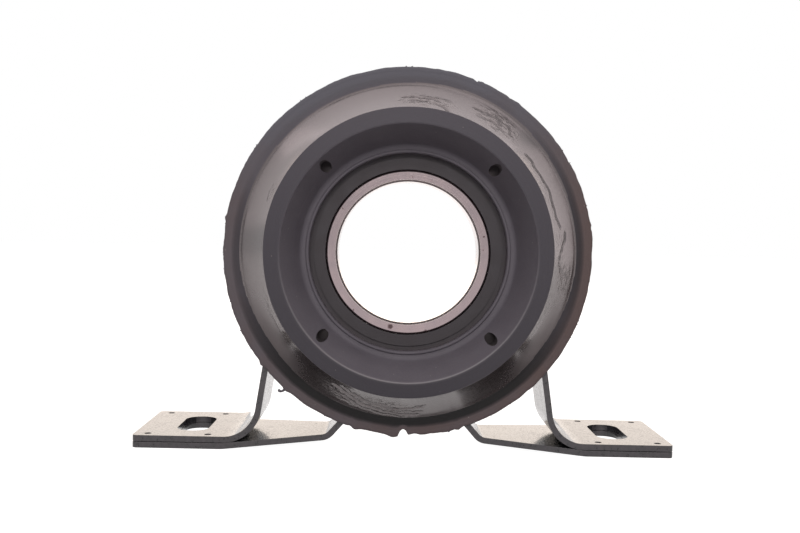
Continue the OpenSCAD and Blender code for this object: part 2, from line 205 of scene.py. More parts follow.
class FinishSettings(bpy.types.PropertyGroup):
    """Colours of the finishes."""
    rubber: colour_of("Boss rubber", "Dish rubber where the mould was blasted", "#615d65")
    # The bevel's rubber is given a darker tone than the dish's
    bevel: colour_of("Bevel rubber", "Rubber of the bevel, darker than the dish", "#4b484f")
    rim: colour_of("Rim rubber", "Rubber of the rim, greyed in the air", "#5d5c65")
    rim_brown: colour_of("Browned rim", "Rim rubber that has browned", "#5a4d4d")
    flank: colour_of("Flank skin", "Smooth skin of the flank", "#393435")
    dust: colour_of("Rubber dust", "Dusty bloom in scuffs", "#77716f")
    # Painted shade: mixed into the cracks of the flank's skin and into the fillet below the skin
    painted_shade: colour_of("Painted shade", "Dark painted shade in cracks and in the flank's fillet", "#171516")
    paint: colour_of("Strap paint", "Black dip paint on the straps", "#1f1f22")
    worn: colour_of("Worn edge", "Dip paint rubbed at the sheets' edges", "#454045")
    seal: colour_of("Seal rubber", "Moulded seals", "#3b383d")
    steel: colour_of("Ground steel", "Ring faces", "#918385")
    dirt_and_shade: colour_of("Dirt", "Dark marks on the ring's face", "#57494b")
    ball: colour_of("Ball steel", "Polished balls", "#cfcfd1")
    cage: colour_of("Cage nylon", "Natural nylon", "#c9b58f")


class StageSettings(bpy.types.PropertyGroup):
    """Camera and light of the studio."""
    lens: bpy.props.FloatProperty(
        name="Lens", description="Focal length on a 36 mm sensor", default=45.675, unit="CAMERA")
    yaw: angle_of("Yaw", "Turn of the camera to the right", 0.682)
    pitch: angle_of("Pitch", "Downward tilt of the camera", 2.147)
    roll: angle_of("Roll", "Roll of the camera", -1.3125)
    place: bpy.props.FloatVectorProperty(
        name="Place", description="Position of the camera", subtype="TRANSLATION", unit="LENGTH",
        default=(-6.316 * MM, -328.82 * MM, 7.56 * MM))
    room: bpy.props.FloatProperty(
        name="Room light", description="Strength of the room's soft light", default=0.07)
    key: power_of("Key softbox", "Power of the softbox above the camera", 8.7)
    top: power_of("Top softbox", "Power of the softbox overhead", 7.0)
    right: power_of("Right softbox", "Power of the softbox at the right", 2.3)
    left: power_of("Left softbox", "Power of the softbox at the left", 1.1)
    back: power_of("Back softbox", "Power of the lit backdrop", 8.1)


# Kinds of node that the finishes use most. Math takes its values at 0, 1 and 2.
# Map Range takes a value at 0, its range at 1 and 2 and the new range at 3 and 4.
# Mix takes the share of its second colour at 0 and the colours at 6 and 7, and gives the colour at 2.
MATH = "ShaderNodeMath"
MAP = "ShaderNodeMapRange"
MIX = "ShaderNodeMix"
NOISE = "ShaderNodeTexNoise"
VECTOR = "ShaderNodeVectorMath"


def put(tree, kind, inputs=None, **settings):
    """Adds a node and gives its outputs. An input is a value, or the output that it is linked to."""
    node = tree.nodes.new(kind)
    for name, value in settings.items():
        setattr(node, name, value)
    for socket, source in (inputs or {}).items():
        if isinstance(source, bpy.types.NodeSocket):
            tree.links.new(source, node.inputs[socket])
        else:
            node.inputs[socket].default_value = source
    return node.outputs


def new_material(name):
    """A material with an empty tree."""
    material = bpy.data.materials.new(name)
    material.use_nodes = True
    material.node_tree.nodes.clear()
    return material, material.node_tree


def new_finish(name):
    """A material, its tree and the coordinates of the piece that it is on."""
    material, tree = new_material(name)
    return material, tree, put(tree, "ShaderNodeTexCoord")["Object"]


def shaded(material, inputs):
    """Ends a material with a shader that has these inputs."""
    tree = material.node_tree
    shader = put(tree, "ShaderNodeBsdfPrincipled", inputs)[0]
    put(tree, "ShaderNodeOutputMaterial", {"Surface": shader})
    return material


def fineness(millimetres):
    """The texture scale that gives features of that size."""
    return 1 / (millimetres * MM)


def from_shaft(tree, place):
    """Distance from the shaft axis."""
    flat = put(tree, VECTOR, {0: place, 1: (1, 0, 1)}, operation="MULTIPLY")[0]
    return put(tree, VECTOR, {0: flat}, operation="LENGTH")["Value"]


def around_shaft(tree, place, millimetres):
    """Rings around the shaft axis, as a tool or a mould leaves them."""
    radius = from_shaft(tree, place)
    return put(tree, NOISE, {"W": radius, "Scale": fineness(millimetres)}, noise_dimensions="1D")[0]


def specks(tree, place, spacing, size, seed):
    """Scattered specks: 1 inside a speck of about that size, in millimetres, and 0 elsewhere."""
    moved = put(tree, VECTOR, {0: place, 1: (seed, seed * 0.7, seed * 0.3)}, operation="ADD")[0]
    cells = put(tree, "ShaderNodeTexVoronoi", {"Vector": moved, "Scale": fineness(spacing)})["Distance"]
    return put(tree, MAP, {0: cells, 1: 0.5 * size / spacing, 2: 0.7 * size / spacing, 3: 1, 4: 0})[0]


def rubber_finish(finish):
    """Carbon-black natural rubber from a blasted steel mould.

    It is dull grey-black with fine rings from the mould's turning. The rim has greyed and browned in the air,
    the ridge's lower half has a painted highlight, and painted shade darkens the fillet between flank and
    rim.
    """
    material, tree, place = new_finish("moulded_rubber")
    rim, bevel, ridge, painted_shade = [
        put(tree, "ShaderNodeAttribute", attribute_name=name)["Fac"]
        for name in ("rim", "bevel", "ridge", "painted_shade")]
    # Mould grain is about 0.1 mm; it is drawn at 0.45 mm so that it shows
    grain = put(tree, NOISE, {"Vector": place, "Scale": fineness(0.45)})[0]
    cloud = put(tree, NOISE, {"Vector": place, "Scale": fineness(9.0), "Detail": 4.0})[0]
    clouds = put(tree, MAP, {0: cloud, 1: 0.3, 2: 0.7})[0]
    # The rim has browned most at the right and least at the top
    across, _, height = put(tree, "ShaderNodeSeparateXYZ", {0: place})
    sideways = put(tree, MAP, {0: across, 1: -60 * MM, 2: 60 * MM, 3: 0.35, 4: 0.85})[0]
    upwards = put(tree, MAP, {0: height, 1: 15 * MM, 2: 55 * MM, 3: 0, 4: 0.85})[0]
    browned = put(tree, MATH, {0: sideways, 1: upwards}, operation="SUBTRACT")[0]
    aged = put(tree, MATH, {0: clouds, 1: 0.3, 2: browned}, operation="MULTIPLY_ADD")[0]
    dish = put(tree, MIX, {0: clouds, 6: finish.rubber, 7: linear("#5b575f")}, data_type="RGBA")[2]
    faces = put(tree, MIX, {0: bevel, 6: dish, 7: finish.bevel}, data_type="RGBA")[2]
    outer = put(tree, MIX, {0: aged, 6: finish.rim, 7: finish.rim_brown}, data_type="RGBA")[2]
    toned = put(tree, MIX, {0: rim, 6: faces, 7: outer}, data_type="RGBA")[2]
    # Painted highlight along the ridge's lower half, where light catches its rounded edge
    ridge_highlight = put(tree, MATH, {0: ridge, 1: 0.9}, operation="MULTIPLY")[0]
    lightened = put(tree, MIX, {0: ridge_highlight, 6: toned, 7: linear("#9b979c")}, data_type="RGBA")[2]
    # Painted shade darkens the fillet between the flank and the rim
    soiled_and_shaded = put(tree, MIX, {0: painted_shade, 6: lightened, 7: finish.painted_shade}, data_type="RGBA")[2]
    dots = put(tree, MATH, {0: specks(tree, place, 5.0, 0.28, 0.0), 1: 0.7}, operation="MULTIPLY")[0]
    rings = around_shaft(tree, place, 0.8)
    relief = put(tree, MATH, {0: grain, 1: 0.45, 2: rings}, operation="MULTIPLY_ADD")[0]
    return shaded(material, {
        "IOR": 1.3,
        "Base Color": put(tree, MIX, {0: dots, 6: soiled_and_shaded, 7: linear("#8a8584")}, data_type="RGBA")[2],
        "Roughness": put(tree, MAP, {0: grain, 1: 0.3, 2: 0.7, 3: 0.54, 4: 0.68})[0],
        "Normal": put(tree, "ShaderNodeBump", {"Distance": 0.07 * MM, "Height": relief})[0],
    })


def skin_finish(finish):
    """Rubber skin that lay against polished steel.

    Its low-angle shine mirrors the room, with a faint pink from the bloom on it. Bloom dulls it in scuffs,
    and cracks in it are painted dark as shade.
    """
    material, tree, place = new_finish("polished_rubber_skin")
    scuff, crack, dull, around, down = [
        put(tree, "ShaderNodeAttribute", attribute_name=name)["Fac"]
        for name in ("scuff", "crack", "dull", "around", "down")]
    ragged = put(tree, NOISE, {"Vector": place, "Scale": fineness(1.1), "Detail": 4.0})[0]
    patches = put(tree, MAP, {0: ragged, 1: 0.35, 2: 0.65})[0]
    streaks = put(tree, MATH, {0: scuff, 1: patches}, operation="MULTIPLY")[0]
    # Small cracks run around the shaft, so their cells are 5 mm long and 1.3 mm wide, bent by noise
    wander = put(tree, NOISE, {"Vector": place, "Scale": fineness(2.5)})[0]
    bent = put(tree, MATH, {0: wander, 1: 1.2 * MM, 2: down}, operation="MULTIPLY_ADD")[0]
    stretched = put(tree, MATH, {0: around, 1: 0.26}, operation="MULTIPLY")[0]
    cells = put(tree, "ShaderNodeCombineXYZ", {0: stretched, 1: bent})[0]
    web = put(
        tree, "ShaderNodeTexVoronoi", {"Vector": cells, "Scale": fineness(1.3)},
        feature="DISTANCE_TO_EDGE")["Distance"]
    lines = put(tree, MAP, {0: web, 1: 0.03, 2: 0.1, 3: 1, 4: 0})[0]
    gaps = put(tree, NOISE, {"Vector": place, "Scale": fineness(3.0)})[0]
    kept = put(tree, MAP, {0: gaps, 1: 0.42, 2: 0.55})[0]
    broken = put(tree, MATH, {0: lines, 1: kept}, operation="MULTIPLY")[0]
    worst = put(tree, MAP, {0: scuff, 1: 0.35, 2: 0.8})[0]
    small = put(tree, MATH, {0: broken, 1: worst}, operation="MULTIPLY")[0]
    split = put(tree, MATH, {0: crack, 1: small}, operation="MAXIMUM")[0]
    bloom = put(tree, MATH, {0: streaks, 1: 0.5}, operation="MULTIPLY")[0]
    bloomed = put(tree, MIX, {0: bloom, 6: finish.flank, 7: finish.dust}, data_type="RGBA")[2]
    # The skin's pores are about 0.1 mm; they are drawn at 0.5 mm so that they show
    pores = put(tree, NOISE, {"Vector": place, "Scale": fineness(0.5), "Detail": 3.0})[0]
    satin = put(tree, MAP, {0: pores, 1: 0.3, 2: 0.7, 3: 0.17, 4: 0.26})[0]
    scuffed = put(tree, MATH, {0: streaks, 1: 0.1, 2: satin}, operation="MULTIPLY_ADD")[0]
    dulled = put(tree, MATH, {0: dull, 1: 0.4, 2: scuffed}, operation="MULTIPLY_ADD")[0]
    rough = put(tree, MATH, {0: split, 1: 0.5}, operation="MULTIPLY")[0]
    ripple = put(tree, NOISE, {"Vector": place, "Scale": fineness(0.9), "Detail": 3.0})[0]
    ripples = put(tree, MATH, {0: ripple, 1: streaks}, operation="MULTIPLY")[0]
    raised = put(tree, MATH, {0: pores, 1: 0.035, 2: ripples}, operation="MULTIPLY_ADD")[0]
    relief = put(tree, MATH, {0: split, 1: -0.8, 2: raised}, operation="MULTIPLY_ADD")[0]
    return shaded(material, {
        "IOR": 1.9,
        "Specular Tint": linear("#fff2f4"),
        # The cracks are painted dark as shade
        "Base Color": put(tree, MIX, {0: split, 6: bloomed, 7: finish.painted_shade}, data_type="RGBA")[2],
        "Roughness": put(tree, MATH, {0: dulled, 1: rough}, operation="MAXIMUM")[0],
        "Normal": put(tree, "ShaderNodeBump", {"Distance": 0.07 * MM, "Height": relief})[0],
    })


def hole_finish():
    """Rough rubber in the core pin holes, painted almost black as the shade in them, and lighter in the upper
    ones.
    """
    material, tree, place = new_finish("shaded_rubber_hole")
    dirt_and_shade = put(tree, NOISE, {"Vector": place, "Scale": fineness(0.6), "Detail": 3.0})[0]
    height = put(tree, "ShaderNodeSeparateXYZ", {0: place})["Z"]
    lighter_above = put(tree, MAP, {0: height, 1: 0, 2: 20 * MM})[0]
    # Painted shade: near black in the lower holes, lighter in the upper ones
    lower = put(tree, MIX, {0: dirt_and_shade, 6: linear("#242122"), 7: linear("#2f2b2d")}, data_type="RGBA")[2]
    upper = put(tree, MIX, {0: dirt_and_shade, 6: linear("#3d393b"), 7: linear("#484346")}, data_type="RGBA")[2]
    return shaded(material, {
        "IOR": 1.3,
        "Base Color": put(tree, MIX, {0: lighter_above, 6: lower, 7: upper}, data_type="RGBA")[2],
        "Roughness": put(tree, MAP, {0: dirt_and_shade, 1: 0.3, 2: 0.7, 3: 0.65, 4: 0.85})[0],
    })


def paint_finish(finish):
    """Black dip paint on sheet steel.

    It dries smooth with fine orange peel, so it is black when faced and white with the room at a low angle.
    """
    material, tree, place = new_finish("black_dip_paint")
    # Orange peel is about 0.5 mm; it is drawn at 1 mm so that it shows
    peel = put(tree, NOISE, {"Vector": place, "Scale": fineness(1.0)})[0]
    clouds = put(tree, NOISE, {"Vector": place, "Scale": fineness(7.0), "Detail": 3.0})[0]
    mottle = put(tree, NOISE, {"Vector": place, "Scale": fineness(0.6)})[0]
    dull = put(tree, MATH, {0: specks(tree, place, 6.0, 0.5, 0.011), 1: 0.8}, operation="MULTIPLY")[0]
    shade = put(tree, MAP, {0: clouds, 1: 0.35, 2: 0.65})[0]
    base = put(tree, MIX, {0: shade, 6: finish.paint, 7: linear("#2a2a2e")}, data_type="RGBA")[2]
    broad = put(tree, MAP, {0: clouds, 1: 0.3, 2: 0.7, 3: 0.04, 4: 0.1})[0]
    fine = put(tree, MAP, {0: mottle, 1: 0.35, 2: 0.65, 3: 0, 4: 0.19})[0]
    smooth = put(tree, MATH, {0: broad, 1: fine}, operation="ADD")[0]
    return shaded(material, {
        "IOR": 1.52,
        "Base Color": put(tree, MIX, {0: dull, 6: base, 7: linear("#141316")}, data_type="RGBA")[2],
        "Roughness": put(tree, MATH, {0: smooth, 1: dull}, operation="MAXIMUM")[0],
        "Normal": put(tree, "ShaderNodeBump", {"Distance": 0.004 * MM, "Height": peel})[0],
    })


def worn_finish(finish):
    """Dip paint rubbed thin along the sheets' edges: greyer and duller than the paint beside it."""
    material, tree, place = new_finish("rubbed_paint_edge")
    wear = put(tree, NOISE, {"Vector": place, "Scale": fineness(1.6), "Detail": 4.0})[0]
    lightened = put(tree, MAP, {0: wear, 1: 0.35, 2: 0.65, 3: 0.3, 4: 0.8})[0]
    return shaded(material, {
        "IOR": 1.52,
        "Base Color": put(tree, MIX, {0: lightened, 6: finish.paint, 7: finish.worn}, data_type="RGBA")[2],
        "Roughness": put(tree, MAP, {0: lightened, 3: 0.2, 4: 0.4})[0],
    })


def seal_finish(finish):
    """Moulded nitrile seal: smooth and dull, with faint rings from its mould."""
    material, tree, place = new_finish("moulded_nitrile")
    rings = around_shaft(tree, place, 0.5)
    clouds = put(tree, NOISE, {"Vector": place, "Scale": fineness(5.0), "Detail": 3.0})[0]
    return shaded(material, {
        "IOR": 1.35,
        "Base Color": put(tree, MIX, {0: clouds, 6: finish.seal, 7: linear("#413d40")}, data_type="RGBA")[2],
        "Roughness": put(tree, MAP, {0: clouds, 1: 0.3, 2: 0.7, 3: 0.6, 4: 0.72})[0],
        "Normal": put(tree, "ShaderNodeBump", {"Distance": 0.03 * MM, "Height": rings})[0],
    })


def steel_finish(finish):
    """Face-ground bearing steel: a satin metal with fine rings from the wheel and a few dark marks."""
    material, tree, place = new_finish("ground_bearing_steel")
    # Grinding lines are about 0.05 mm; they are drawn at 0.25 mm so that they show
    lines = around_shaft(tree, place, 0.25)
    clouds = put(tree, NOISE, {"Vector": place, "Scale": fineness(4.0), "Detail": 4.0})[0]
    marks = specks(tree, place, 5.0, 0.55, 0.0137)
    ragged = put(tree, NOISE, {"Vector": place, "Scale": fineness(1.2)})["Color"]
    bent = put(tree, VECTOR, {0: ragged, "Scale": 0.9 * MM}, operation="SCALE")[0]
    shifted = put(tree, VECTOR, {0: place, 1: bent}, operation="ADD")[0]
    for x, z, size in RING_MARKS:
        spot = (x * MM, -BEARING_HIGH.y, z * MM)
        away = put(tree, VECTOR, {0: shifted, 1: spot}, operation="DISTANCE")["Value"]
        mark = put(tree, MAP, {0: away, 1: 0.4 * size * MM, 2: 0.6 * size * MM, 3: 1, 4: 0})[0]
        marks = put(tree, MATH, {0: marks, 1: mark}, operation="MAXIMUM")[0]
    shade = put(tree, MAP, {0: clouds, 1: 0.35, 2: 0.65})[0]
    toned = put(tree, MIX, {0: shade, 6: finish.steel, 7: linear("#897d80")}, data_type="RGBA")[2]
    faces = put(tree, MIX, {0: marks, 6: toned, 7: finish.dirt_and_shade}, data_type="RGBA")[2]
    # The bore and its edge are honed, which leaves them brighter than the faces
    honed = put(tree, MAP, {0: from_shaft(tree, place), 1: BORE_EDGE, 2: BORE_EDGE + 0.1 * MM, 3: 1, 4: 0})[0]
    ground = put(tree, MAP, {0: lines, 1: 0.3, 2: 0.7, 3: 0.16, 4: 0.23})[0]
    soiled_and_shaded = put(tree, MATH, {0: marks, 1: 0.7}, operation="MULTIPLY")[0]
    return shaded(material, {
        "Metallic": 1.0,
        "Base Color": put(tree, MIX, {0: honed, 6: faces, 7: linear("#cfc4c2")}, data_type="RGBA")[2],
        "Roughness": put(tree, MATH, {0: ground, 1: soiled_and_shaded}, operation="MAXIMUM")[0],
        "Normal": put(tree, "ShaderNodeBump", {"Distance": 0.006 * MM, "Height": lines})[0],
    })


def ball_finish(finish):
    """Polished bearing steel: a near mirror with faint handling haze."""
    material, tree, place = new_finish("polished_bearing_steel")
    haze = put(tree, NOISE, {"Vector": place, "Scale": fineness(1.5), "Detail": 3.0})[0]
    return shaded(material, {
        "Metallic": 1.0,
        "Base Color": put(tree, MIX, {0: haze, 6: finish.ball, 7: linear("#bdbdc2")}, data_type="RGBA")[2],
        "Roughness": put(tree, MAP, {0: haze, 1: 0.3, 2: 0.7, 3: 0.06, 4: 0.14})[0],
    })


def cage_finish(finish):
    """Natural glass-filled nylon, moulded: a waxy tan with short pale fibres."""
    material, tree, place = new_finish("glass_filled_nylon")
    fibres = put(tree, NOISE, {"Vector": place, "Scale": fineness(0.4), "Detail": 4.0})[0]
    pale = put(tree, MAP, {0: fibres, 1: 0.4, 2: 0.65})[0]
    return shaded(material, {
        "IOR": 1.53,
        "Base Color": put(tree, MIX, {0: pale, 6: finish.cage, 7: linear("#d8caa9")}, data_type="RGBA")[2],
        "Roughness": put(tree, MAP, {0: fibres, 1: 0.3, 2: 0.7, 3: 0.4, 4: 0.55})[0],
        "Normal": put(tree, "ShaderNodeBump", {"Distance": 0.02 * MM, "Height": fibres})[0],
    })


def new_piece(name, points, faces=()):
    """A mesh object at the origin, made from points and faces."""
    mesh = bpy.data.meshes.new(name)
    mesh.from_pydata([tuple(p) for p in points], [], [tuple(f) for f in faces])
    mesh.validate()
    mesh.shade_smooth()
    piece = bpy.data.objects.new(name, mesh)
    bpy.context.scene.collection.objects.link(piece)
    return piece


def face_outwards(piece):
    """Turns the faces of a closed piece outwards."""
    shell = bmesh.new()
    shell.from_mesh(piece.data)
    bmesh.ops.recalc_face_normals(shell, faces=shell.faces)
    shell.to_mesh(piece.data)
    shell.free()


def settle(piece):
    """Keeps what the modifiers made as the piece's own mesh."""
    graph = bpy.context.evaluated_depsgraph_get()
    made = bpy.data.meshes.new_from_object(
        piece.evaluated_get(graph), preserve_all_data_layers=True, depsgraph=graph)
    piece.modifiers.clear()
    piece.data = made
    made.name = piece.name


def new_tree(name, sizes):
    """A geometry node tree with named inputs for its sizes, and the outputs of its input node."""
    tree = bpy.data.node_groups.new(name, "GeometryNodeTree")
    tree.interface.new_socket("Geometry", in_out="INPUT", socket_type="NodeSocketGeometry")
    for label, kind in sizes.items():
        tree.interface.new_socket(label, in_out="INPUT", socket_type=kind)
    tree.interface.new_socket("Geometry", in_out="OUTPUT", socket_type="NodeSocketGeometry")
    return tree, put(tree, "NodeGroupInput")


def grow(piece, tree, values):
    """Runs a geometry node tree on a piece and keeps the result as its mesh."""
    modifier = piece.modifiers.new(tree.name, "NODES")
    modifier.node_group = tree
    for socket in tree.interface.items_tree:
        if socket.in_out == "INPUT" and socket.name in values:
            modifier[socket.identifier] = values[socket.name]
    settle(piece)


def dress(node, material):
    """Gives a CAD node its finish."""
    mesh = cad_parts[node].data
    mesh.materials.clear()
    mesh.materials.append(material)


def rounded_outline(corners):
    """Points of a closed outline, from corners of place, edge radius and steps along the side after it."""
    places = [np.array(c[0]) for c in corners]
    count = len(corners)
    ends = []
    for i, (_, radius, _) in enumerate(corners):
        before = places[i - 1] - places[i]
        after = places[(i + 1) % count] - places[i]
        before /= np.linalg.norm(before)
        after /= np.linalg.norm(after)
        half = math.acos(float(np.clip(before @ after, -1, 1))) / 2
        if radius == 0:
            ends.append([places[i]])
            continue
        middle = places[i] + radius / math.sin(half) * (before + after) / np.linalg.norm(before + after)
        reach = radius / math.tan(half)
        first = places[i] + before * reach - middle
        last = places[i] + after * reach - middle
        sweep = math.atan2(first[0] * last[1] - first[1] * last[0], first @ last)
        steps = max(2, math.ceil(abs(math.degrees(sweep)) / CORNER_STEP))
        turns = [sweep * k / steps for k in range(steps + 1)]
        ends.append([
            middle + np.array((
                first[0] * math.cos(t) - first[1] * math.sin(t),
                first[0] * math.sin(t) + first[1] * math.cos(t))) for t in turns])
    points = []
    for i, (_, _, steps) in enumerate(corners):
        points += ends[i]
        start = ends[i][-1]
        end = ends[(i + 1) % count][0]
        points += [start + (end - start) * k / steps for k in range(1, steps)]
    return np.array(points)


def arc(centre, radius, start, end, steps):
    """Points on an arc in radius and Y, from one angle to another."""
    turns = np.linspace(start, end, steps + 1)
    return [centre + radius * np.array((math.cos(t), math.sin(t))) for t in turns]


def flank_curve(top, foot, hollow, fillet):
    """Points of the flank's hollow and of its fillet onto the rim's face, and the hollow's centre."""
    bend = foot - np.array((0, fillet))
    apart = float(np.linalg.norm(bend - top))
    ahead = (bend - top) / apart
    along = (hollow ** 2 - (hollow - fillet) ** 2 + apart ** 2) / (2 * apart)
    aside = math.sqrt(hollow ** 2 - along ** 2)
    centre = top + along * ahead + aside * np.array((ahead[1], -ahead[0]))
    lean = math.atan2(bend[1] - centre[1], bend[0] - centre[0]) % (2 * math.pi)
    first = math.atan2(top[1] - centre[1], top[0] - centre[0]) % (2 * math.pi)
    return arc(centre, hollow, first, lean, 44) + arc(bend, fillet, lean, math.pi / 2, 14)[1:], centre


def boss_shape(boss):
    """The boss's section as radius and Y, the two ends of its flank and the centre of its hollow."""
    face_y = BEARING_HIGH.y
    bearing_r = BEARING_HIGH.x
    lip_r = SEAL_HIGH.x
    hub_y = face_y + boss.hub_lip
    hub_r = bearing_r + boss.hub_wall
    front_y = STRAP_LOW.y
    rim_y = front_y - boss.rim_thickness
    rim_r = BOSS_HIGH.x
    strap_r = STRAP_HIGH.z - boss.sheet
    lining_r = strap_r - boss.lining
    back_y = BOSS_HIGH.y
    crest = np.array((boss.crest_radius, BOSS_LOW.y))
    top = crest + np.array((boss.bevel_width, boss.bevel_drop))
    foot = np.array((top[0] + boss.flank_run, rim_y))
    flank, hollow_centre = flank_curve(top, foot, boss.flank_hollow, boss.flank_fillet)
    # Corners of the pocket behind the bellows, as shares of the bevel's width and of the wall
    fold = crest + np.array((0.42 * boss.bevel_width, 1.36 * boss.wall))
    behind_y = rim_y + 0.4 * boss.wall
    hub_back_y = -hub_y + 0.3 * boss.wall
    bead_r = lip_r + 2 * boss.bead
    bead_y = -hub_y - boss.bead
    round_bead = 0.9 * boss.bead
    outline = rounded_outline([
        ((bearing_r, -face_y), 0, 1), ((lip_r, -face_y), 0, 1), ((lip_r, bead_y), round_bead, 1),
        ((bead_r, bead_y), round_bead, 1), ((bead_r, -hub_y), 0, 1),
        ((bearing_r, -hub_y), boss.dish_fillet, 18), (crest, boss.crest_edge, 8), (top, boss.crest_edge, 1),
        *[(p, 0, 1) for p in flank[1:-1]],
        (foot, 0, 5), ((rim_r, rim_y), boss.rim_edge, 2), ((rim_r, front_y), 0, 2),
        ((strap_r, front_y), 0, 4), ((strap_r, back_y), boss.rim_edge, 1),
        ((lining_r, back_y), boss.rim_edge, 3),
        ((lining_r, behind_y), boss.dish_fillet, 3), (fold, boss.crest_edge, 3),
        ((hub_r, hub_back_y), boss.crest_edge, 3), ((hub_r, hub_y), boss.rim_edge, 2),
        ((lip_r, hub_y), 0, 1), ((lip_r, face_y), 0, 1), ((bearing_r, face_y), 0, 2)])
    return outline, top, foot, hollow_centre


def lattice_noise(seed, across, along, cells_across, cells_along):
    """Smooth seeded noise from 0 to 1 on two shares from 0 to 1, closed in the first one."""
    values = np.random.default_rng(seed).random((cells_across, cells_along + 2))
    u = np.mod(across, 1) * cells_across
    v = np.clip(along, 0, 1) * cells_along
    i = np.floor(u).astype(int)
    j = np.floor(v).astype(int)
    fu = (u - i) ** 2 * (3 - 2 * (u - i))
    fv = (v - j) ** 2 * (3 - 2 * (v - j))
    near = values[i % cells_across, j] * (1 - fv) + values[i % cells_across, j + 1] * fv
    far = values[(i + 1) % cells_across, j] * (1 - fv) + values[(i + 1) % cells_across, j + 1] * fv
    return near * (1 - fu) + far * fu


def turn_between(azimuth, centre):
    """Degrees from one azimuth to another, the short way round."""
    return (azimuth - centre + 180) % 360 - 180


def rim_edge_line(boss, azimuth):
    """How far the torn rim stands out of its circle at each azimuth."""
    share = azimuth / 360
    still = np.zeros_like(share)
    out = RIM_WAVE * (lattice_noise(11, share, still, 150, 1) - 0.5)
    out += RIM_RAGGEDNESS * (lattice_noise(12, share, still, 330, 1) - 0.5)
    for centre, half, height in RIM_TEARS:
        out += height * MM * np.exp(-(turn_between(azimuth, centre) / half) ** 2)
    notch_half = math.degrees(boss.notch_width / 2 / BOSS_HIGH.x)
    notch_turn = np.abs(turn_between(azimuth, SPLIT_AZIMUTH))
    return out - boss.notch_depth * np.clip(1.5 - notch_turn / notch_half, 0, 1) ** 0.6


def crack_depth(azimuth, share, flank_length, flank_radius):
    """Depth of the cracks in the flank's skin, and how far each point is inside one."""
    depth = np.zeros_like(azimuth)
    inside = np.zeros_like(azimuth)
    wander = CRACK_WANDER * (lattice_noise(21, azimuth / 360, share, 240, 6) - 0.5)
    for deep, points in FLANK_CRACKS:
        for (a0, s0), (a1, s1) in zip(points, points[1:]):
            along = np.array((math.radians(a1 - a0) * flank_radius, (s1 - s0) * flank_length))
            x = np.radians(turn_between(azimuth, a0)) * flank_radius
            y = (share - s0) * flank_length + wander
            t = np.clip((x * along[0] + y * along[1]) / (along @ along), 0, 1)
            apart = np.hypot(x - t * along[0], y - t * along[1])
            groove = np.exp(-(apart / CRACK_WIDTH) ** 2)
            depth = np.maximum(depth, deep * MM * groove)
            inside = np.maximum(inside, groove)
    return depth, inside


def scuff_strength(azimuth, share):
    """Where the flank's skin is rough, from 0 to 1."""
    rough = np.zeros_like(azimuth)
    for centre, half, middle, half_share, strength in FLANK_SCUFFS:
        apart = (turn_between(azimuth, centre) / half) ** 2 + ((share - middle) / half_share) ** 2
        rough = np.maximum(rough, strength * np.exp(-apart ** 2))
    return rough


def skin_end_line(azimuth):
    """The share of the flank at which its smooth skin ends."""
    upward = np.sin(np.radians(azimuth))
    end = SKIN_END - np.where(upward > 0, SKIN_LOSS_TOP, SKIN_LOSS_BOTTOM) * np.abs(upward)
    for centre, half, reach in SKIN_REACHES:
        end = end + reach * np.exp(-(turn_between(azimuth, centre) / half) ** 2)
    return end


def flank_shade(azimuth, share):
    """Painted shade in the fillet below the skin: most at the bottom, some at both sides and least at the
    top.
    """
    # The shade stands in for the dark straps and the shaded floor that the fillet mirrors
    upward = np.sin(np.radians(azimuth))
    sideways = np.cos(np.radians(azimuth))
    # One term each for the bottom, the right, the left and the top
    dirt_and_shade = np.max([0.1 - 1.2 * upward, 1.6 * sideways - 0.9, -4 * sideways - 3.5, 0.25 * upward], 0)
    return np.clip(dirt_and_shade, 0, 1) * np.clip((1.01 - share) / 0.1, 0, 1)


def flank_dullness(azimuth, share, skin_end):
    """Where the skin has lost its shine: near its end, mostly at the top, and in the dull sectors."""
    upward = np.sin(np.radians(azimuth))
    # It sets in over the last 0.06 of the flank's share before the skin ends
    dull = np.clip((share - skin_end) / 0.06 + 1, 0, 1) * np.clip(0.3 + 0.5 * upward, 0, 1)
    for centre, half in DULL_SECTORS:
        sector = np.exp(-(turn_between(azimuth, centre) / half) ** 2)
        dull = np.maximum(dull, sector * np.clip((share - 0.12) / 0.35, 0, 1))
    return dull


def skin_relief(azimuth, share, rough):
    """How far the skin stands out: folds and grain where it is rough, and a swell all over."""
    folds = lattice_noise(31, azimuth / 360, share + 0.2 * azimuth / 360, 300, 14)
    fine = lattice_noise(32, azimuth / 360, share, 520, 26)
    swell = lattice_noise(33, azimuth / 360, share, 40, 3)
    return rough * (FOLD_HEIGHT * (1 - np.abs(2 * folds - 1)) + GRAIN_HEIGHT * fine) + SWELL_HEIGHT * swell


